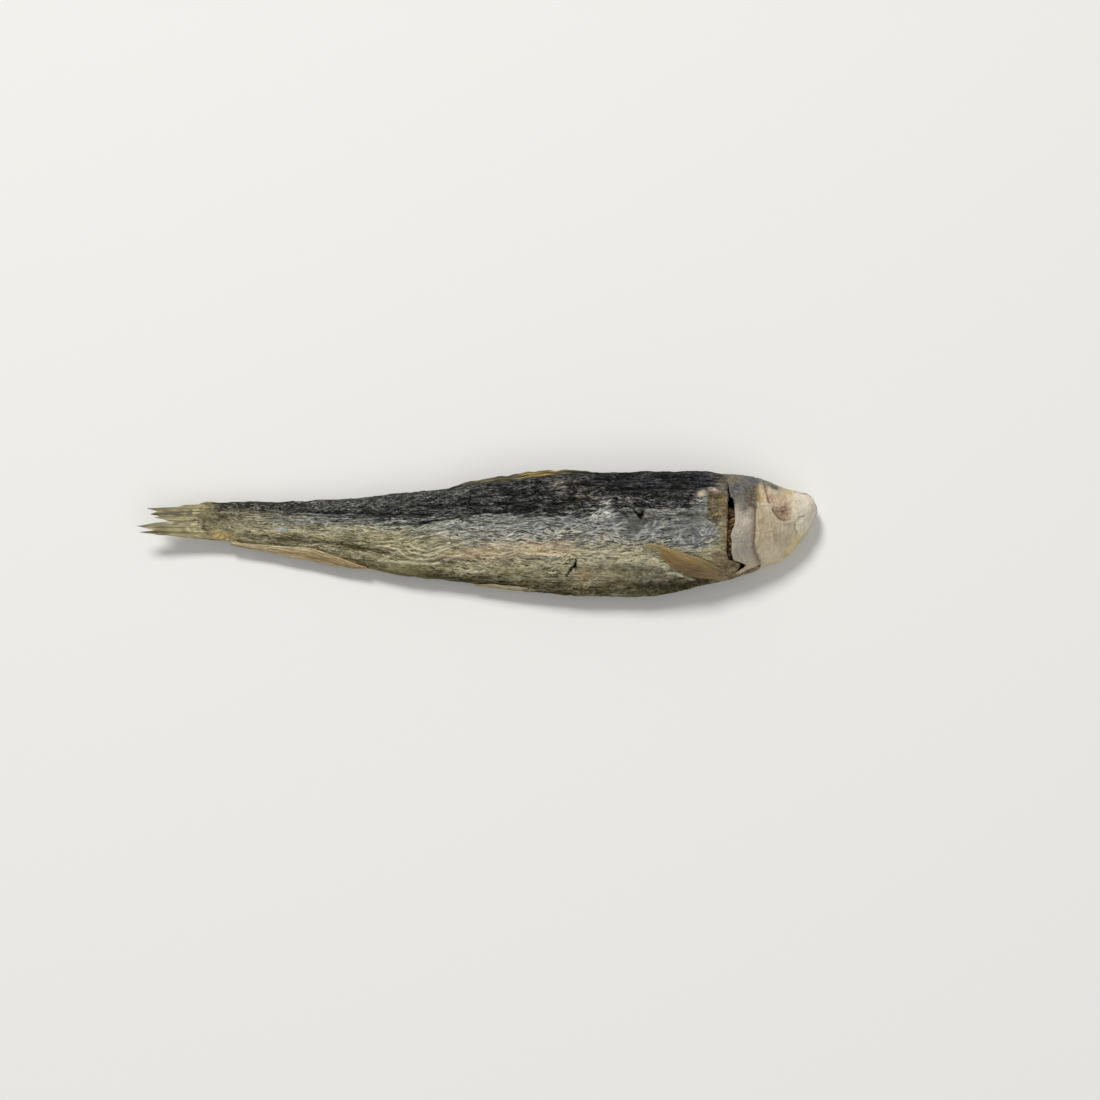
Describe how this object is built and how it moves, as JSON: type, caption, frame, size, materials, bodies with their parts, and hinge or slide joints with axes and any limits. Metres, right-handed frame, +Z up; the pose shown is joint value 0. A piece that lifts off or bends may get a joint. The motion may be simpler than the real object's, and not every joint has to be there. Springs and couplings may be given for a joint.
{
  "type": "freeze-dried sardine",
  "caption": "Whole freeze-dried sardine lying on its flank, with wrinkled skin, sunken eyes, gaping gill covers and brittle folded fins.",
  "frame": {"origin": "on the surface that the fish lies on, under the middle of its bounding box", "axes": "+X from the tail to the snout, +Y towards the back, +Z up out of the right flank"},
  "size_m": [0.12, 0.0222, 0.0122],
  "materials": {
    "dried_fish": "dry wrinkled fish skin, near black on the back, dull silver on the flanks and cream on the head"
  },
  "bodies": {
    "root": {"sardine": "dried_fish"}
  },
  "joints": []
}
